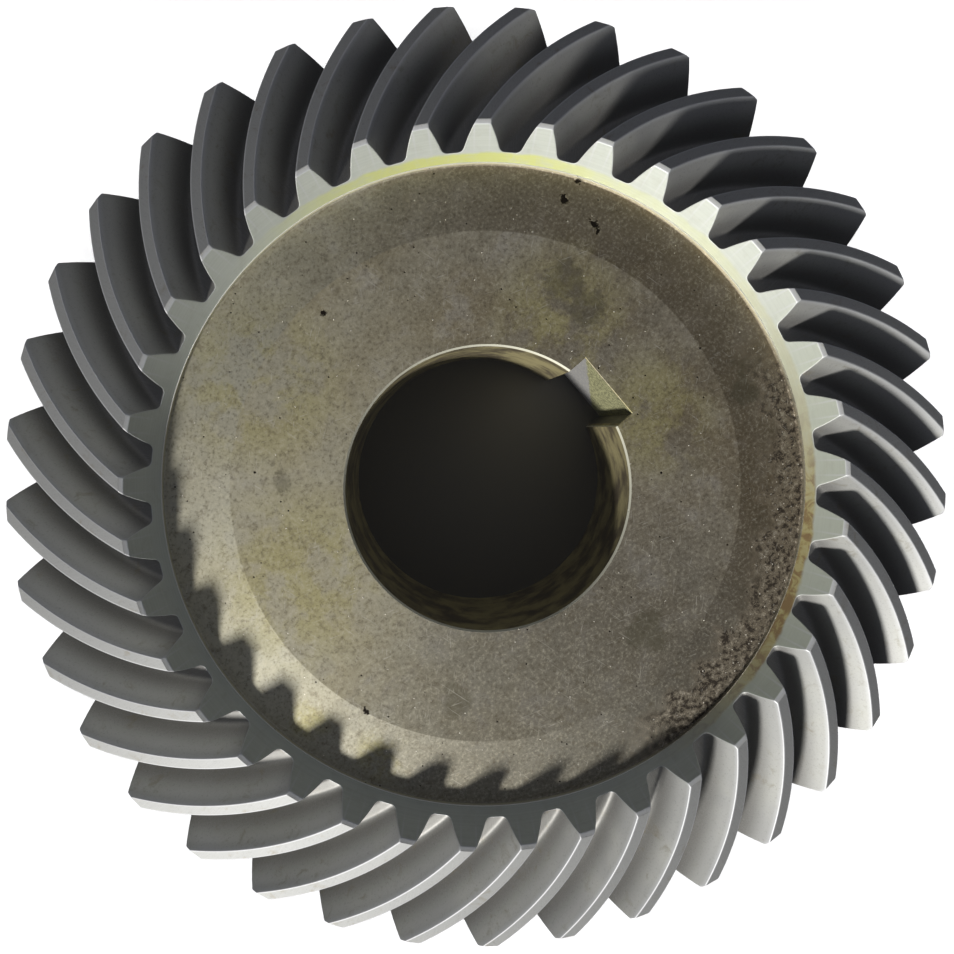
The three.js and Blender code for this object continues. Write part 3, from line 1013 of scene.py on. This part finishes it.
def make_hub_steel():
    """Turned steel under old oil: olive-brown patina, yellow stains, grime, scratches and pits, with painted
    light and shade on the front, in the bore and in the keyway.
    """
    steel = Surface("hub_steel")
    seat_radius = seat_edge()[0]
    recess_floor = FRONT_FACE - CONE_DROP
    cloud = steel.noise(45, detail=5.0, roughness=0.6)
    patch = steel.noise(14, detail=5.0, roughness=0.65, distortion=0.15)
    mottle = steel.noise(3.5, detail=4.0, roughness=0.65)
    flecks = steel.noise(1.2, detail=4.0, roughness=0.7)
    grain = steel.noise(0.5, detail=2.0, roughness=0.6)

    # Painted light: the patina turns paler towards the lower left, the side the key sun shines from
    lit_side = steel.span(steel.towards(200), -0.9, 0.9)
    brown = steel.mix(steel.span(cloud, 0.35, 0.65), PATINA_BROWN, PATINA_DARK_BROWN)
    lit_patina = steel.mix(steel.span(cloud, 0.35, 0.65), PATINA_LIT_PALE, PATINA_LIT_OLIVE)
    colour = steel.mix(lit_side, brown, lit_patina)
    colour = steel.mix(steel.span(patch, 0.48, 0.68), colour, BARE_PATCH, 0.45)
    conical = steel.span(steel.radius, (FRONT_FACE_RADIUS - 0.3) * MM, (FRONT_FACE_RADIUS + 0.3) * MM)
    # Painted shade on the conical ring's upper right and painted light on its lower left, as its slope turns
    # it away from or towards the key sun
    ring_shade_side = steel.times(conical, steel.arc(35, 75, softness=25))
    colour = steel.mix(ring_shade_side, colour, RING_PAINTED_SHADE, 0.6)
    colour = steel.mix(steel.times(conical, lit_side), colour, RING_PAINTED_LIGHT, 0.4)
    colour = steel.mix(steel.arc(290, 42, softness=30), colour, SHADED_BROWN, 0.62)

    oil = steel.times(steel.span(patch, 0.4, 0.6), steel.blobs(OIL_STAINS))
    colour = steel.mix(oil, colour, OLIVE_OIL, 0.6)

    colour = steel.mix(steel.span(mottle, 0.5, 0.72), colour, MOTTLE_DARK, 0.45)
    colour = steel.mix(steel.span(flecks, 0.5, 0.68), colour, FLECK_LIGHT, 0.4)
    colour = steel.mix(steel.span(flecks, 0.48, 0.34), colour, FLECK_DARK, 0.45)

    rough_edge = steel.times(steel.add(steel.noise(2.4, detail=5.0, roughness=0.75), -0.5), 7 * MM)
    ragged = steel.times(steel.add(patch, -0.5), 22 * MM)
    stained = steel.blobs(DARK_STAINS, 0.25, ragged)
    colour = steel.mix(stained, colour, STAIN_DARK, 0.45)
    uneven = steel.add(steel.radius, steel.times(steel.add(steel.noise(10), -0.5), 26 * MM))
    rim = steel.times(steel.arc(-16, 40, softness=9), steel.span(uneven, 107 * MM, 114 * MM))
    lumps = steel.noise(2.4, detail=5.0, roughness=0.75)
    colour = steel.mix(rim, colour, GRIME_BASE, 0.7)
    colour = steel.mix(steel.times(rim, steel.span(lumps, 0.5, 0.57)), colour, GRIME_DARK)
    colour = steel.mix(steel.times(rim, steel.span(lumps, 0.46, 0.39)), colour, GRIME_LIGHT)
    grime = steel.times(rim, steel.span(lumps, 0.42, 0.52))

    over_floor = steel.span(steel.z, (recess_floor + 0.2) * MM, (recess_floor + 0.9) * MM)
    near_seat = steel.span(steel.radius, (seat_radius - 1.6) * MM, (seat_radius - 1.2) * MM)
    wall = steel.times(steel.times(over_floor, near_seat), steel.without(steel.times(rim, 0.8)))
    colour = steel.mix(wall, colour, STEP_WALL)
    lip = steel.span(steel.radius, (seat_radius - 0.4) * MM, (seat_radius - 0.3) * MM)
    lip = steel.times(lip, steel.without(steel.times(rim, 0.85)))
    colour = steel.mix(lip, colour, STEP_LIP)

    scratch = 0.0
    for degrees, width, length in SCRATCHES:
        scratch = steel.either(scratch, steel.scratches(degrees, width, length, SCRATCH_SHARE))
    worn = steel.times(scratch, steel.span(steel.noise(12, detail=2.0, roughness=0.5), 0.4, 0.55))
    colour = steel.mix(worn, colour, SCRATCH_BRIGHT, 0.45)
    pits = steel.either(steel.dots(3.0, reach=0.14, share=0.12), steel.dots(7.0, reach=0.09, share=0.14))
    pits = steel.either(pits, steel.blobs(DARK_MARKS, 0.15, rough_edge))
    colour = steel.mix(pits, colour, PIT_BLACK)
    rim_specks = steel.times(steel.dots(1.6, reach=0.2, share=0.22), rim)
    specks = steel.either(steel.dots(2.2, reach=0.15, share=0.09), rim_specks)
    colour = steel.mix(specks, colour, SPECK_WHITE)

    chamfer = steel.times(steel.span(steel.radius, (BORE_RADIUS + 0.03) * MM, (BORE_RADIUS + 0.12) * MM),
                          steel.span(steel.radius, (BORE_RADIUS + 0.9) * MM, (BORE_RADIUS + 0.75) * MM))
    below = steel.span(steel.z, (FRONT_FACE - 0.5) * MM, (FRONT_FACE - 1.2) * MM)
    inside = steel.times(steel.span(steel.radius, 66 * MM, 65 * MM), below)
    # Painted shade: the bore's wall below the chamfer is dark, with patches of rust
    rust_and_shade = steel.mix(steel.span(patch, 0.36, 0.64), BORE_PAINTED_SHADE, BORE_RUST)
    colour = steel.mix(inside, colour, rust_and_shade)
    colour = steel.mix(chamfer, colour, CHAMFER_STEEL)

    key_floor = steel.times(steel.span(steel.x, (KEYWAY_FLOOR - 0.4) * MM, (KEYWAY_FLOOR - 0.2) * MM), inside)
    dirty = steel.mix(steel.span(flecks, 0.4, 0.6), KEYWAY_DARK, KEYWAY_OIL)
    depth = steel.add(steel.times(steel.z, -1.0), FRONT_FACE * MM)
    across = steel.add(steel.times(depth, 0.3), steel.y)
    film = steel.span(steel.add(across, steel.times(steel.add(mottle, -0.5), 5 * MM)), 13 * MM, 14.5 * MM)
    dirty = steel.mix(film, dirty, KEYWAY_FILM, 0.7)
    # Painted shade: the keyway's side walls are dark as if in shadow
    slot_painted_shade = steel.times(steel.span(steel.x, (BORE_RADIUS + 0.3) * MM, (BORE_RADIUS + 0.6) * MM), inside)
    colour = steel.mix(slot_painted_shade, colour, KEYWAY_WALL_PAINTED_SHADE)
    colour = steel.mix(key_floor, colour, dirty)

    rough = steel.add(steel.span(patch, 0.3, 0.7, 0.5, 0.6), steel.times(grime, 0.2))
    rough = steel.add(rough, steel.times(flecks, 0.12))
    relief = steel.add(steel.times(grain, 0.3), steel.times(steel.turning_marks(0.5), 0.3))
    relief = steel.add(relief, steel.times(flecks, 0.8))
    relief = steel.add(relief, steel.times(steel.times(lumps, rim), 6.0))
    relief = steel.add(relief, steel.times(pits, -2.0))
    relief = steel.add(relief, steel.times(specks, 3.0))
    bright_edge = steel.either(steel.either(wall, lip), chamfer)
    plain = steel.either(steel.times(grime, 0.5), steel.times(steel.either(bright_edge, inside), 0.6))
    return steel.finish(colour, rough, relief, 0.04, steel.without(plain))


def make_fastener_steel(name, dark, light, smooth, rough):
    """Plated or oxidised steel with a fine grain and a blotchy film."""
    steel = Surface(name)
    blotch = steel.noise(4, detail=4.0, roughness=0.6, distortion=0.5)
    grain = steel.noise(0.4, detail=2.0, roughness=0.6)
    colour = steel.mix(steel.span(blotch, 0.35, 0.65), dark, light)
    roughness = steel.add(steel.span(blotch, 0.3, 0.7, smooth, rough), steel.times(grain, 0.06))
    relief = steel.add(steel.times(grain, 0.5), steel.times(steel.turning_marks(0.3), 0.5))
    return steel.finish(colour, roughness, relief, 0.01)


tooth_steel = make_tooth_steel()
hub_steel = make_hub_steel()
# Dark and light colour, lowest and highest roughness
screw_steel = make_fastener_steel("screw_steel", (0.035, 0.034, 0.034), (0.075, 0.07, 0.065), 0.38, 0.55)
washer_steel = make_fastener_steel("washer_steel", (0.42, 0.42, 0.41), (0.55, 0.55, 0.53), 0.32, 0.45)
dowel_steel = make_fastener_steel("dowel_steel", (0.5, 0.5, 0.5), (0.6, 0.6, 0.6), 0.18, 0.28)

# ---------------- pieces

ring_mesh = to_mesh("toothed_ring_fine", *toothed_ring_shell())
place_piece("toothed_ring_fine", ring_mesh, tooth_steel, "toothed_ring")
hub_mesh = to_mesh("hub_fine", hub_shell())
place_piece("hub_fine", hub_mesh, hub_steel, "hub")


def place_fasteners(kind, shell, places, material):
    mesh = to_mesh(f"{kind}_fine", shell)
    for number, place in enumerate(places, 1):
        name = f"{kind}_{number:02d}"
        place_piece(f"{name}_fine", mesh, material, name, (*place, 0))


place_fasteners("ring_screw", screw_shell(), screw_places(), screw_steel)
place_fasteners("ring_washer", washer_shell(), screw_places(), washer_steel)
place_fasteners("ring_dowel", dowel_shell(), dowel_places(), dowel_steel)

# ---------------- floor and light

FLOOR_SIZE = 6000
SUN_DIRECTION = 240
SUN_HEIGHT = 29
SUN_SPREAD = 9
SUN_STRENGTH = 3.8
SUN_COLOUR = (1, 0.97, 0.92)
FLOOR_SUNS = 6
FIRST_FLOOR_SUN = 30
FLOOR_SUN_HEIGHT = 20
FLOOR_SUN_SPREAD = 15
FLOOR_SUN_STRENGTH = 13.9
FLOOR_SUN_COLOUR = (1, 1, 1)
FLOOR_COLOUR = (0.15, 0.15, 0.15, 1)
FLOOR_ROUGHNESS = 0.9
FLOOR_BELOW = 0.1
# The sky changes between these heights of a direction's Z
SKY_LOW = -0.2
SKY_HIGH = 0.5
BACKDROP_COLOUR = (0.95, 0.95, 0.95, 1)
SKY_ABOVE = 0.15
SKY_BELOW = 0.04
SKY_COLOUR = (0.86, 0.88, 1.0, 1)


def make_floor():
    shell = Shell()
    half = FLOOR_SIZE / 2
    shell.disc(shell.row([(-half, -half, 0), (half, -half, 0), (half, half, 0), (-half, half, 0)]), True)
    mesh = to_mesh("floor", shell)
    material = bpy.data.materials.new("floor")
    material.use_nodes = True
    shader = material.node_tree.nodes["Principled BSDF"]
    shader.inputs["Base Color"].default_value = FLOOR_COLOUR
    shader.inputs["Roughness"].default_value = FLOOR_ROUGHNESS
    mesh.materials.append(material)
    floor = bpy.data.objects.new("floor", mesh)
    floor.location.z = -FLOOR_BELOW * MM
    scene.collection.objects.link(floor)
    floor.visible_diffuse = False
    floor.visible_glossy = False
    return floor


def sun(name, direction, height, strength, spread, colour, lit):
    """A far light from a direction in the picture that falls only on the objects in one collection."""
    data = bpy.data.lights.new(name, "SUN")
    data.energy = strength
    data.angle = math.radians(spread)
    data.color = colour
    lamp = bpy.data.objects.new(name, data)
    lamp.rotation_euler = picture_vector(direction, height).to_track_quat("Z", "Y").to_euler()
    lamp.light_linking.receiver_collection = lit
    scene.collection.objects.link(lamp)


def make_world():
    world = bpy.data.worlds.new("studio")
    world.use_nodes = True
    scene.world = world
    tree = world.node_tree
    tree.nodes.clear()
    link = tree.links.new

    def node(kind):
        return tree.nodes.new("ShaderNode" + kind)

    output = node("OutputWorld")
    mix = node("MixShader")
    path = node("LightPath")
    direction = node("TexCoord")
    split = node("SeparateXYZ")
    height = node("MapRange")
    height.interpolation_type = "SMOOTHSTEP"
    height.inputs["From Min"].default_value = SKY_LOW
    height.inputs["From Max"].default_value = SKY_HIGH
    height.inputs["To Min"].default_value = SKY_BELOW
    height.inputs["To Max"].default_value = SKY_ABOVE
    link(direction.outputs["Generated"], split.inputs[0])
    link(split.outputs["Z"], height.inputs["Value"])
    sky = node("Background")
    sky.inputs["Color"].default_value = SKY_COLOUR
    link(height.outputs["Result"], sky.inputs["Strength"])
    seen = node("Background")
    seen.inputs["Color"].default_value = BACKDROP_COLOUR
    link(path.outputs["Is Camera Ray"], mix.inputs["Fac"])
    link(sky.outputs["Background"], mix.inputs[1])
    link(seen.outputs["Background"], mix.inputs[2])
    link(mix.outputs["Shader"], output.inputs["Surface"])


floor = make_floor()
gear_only = bpy.data.collections.new("gear_only")
floor_only = bpy.data.collections.new("floor_only")
floor_only.objects.link(floor)
for piece in list(scene.collection.objects):
    if piece.type == "MESH" and piece != floor:
        gear_only.objects.link(piece)

sun("key_sun", SUN_DIRECTION, SUN_HEIGHT, SUN_STRENGTH, SUN_SPREAD, SUN_COLOUR, gear_only)
for index in range(FLOOR_SUNS):
    direction = FIRST_FLOOR_SUN + index * 360 / FLOOR_SUNS
    sun(f"floor_sun_{index + 1}", direction, FLOOR_SUN_HEIGHT, FLOOR_SUN_STRENGTH, FLOOR_SUN_SPREAD,
        FLOOR_SUN_COLOUR, floor_only)
make_world()
scene.view_settings.view_transform = "Standard"
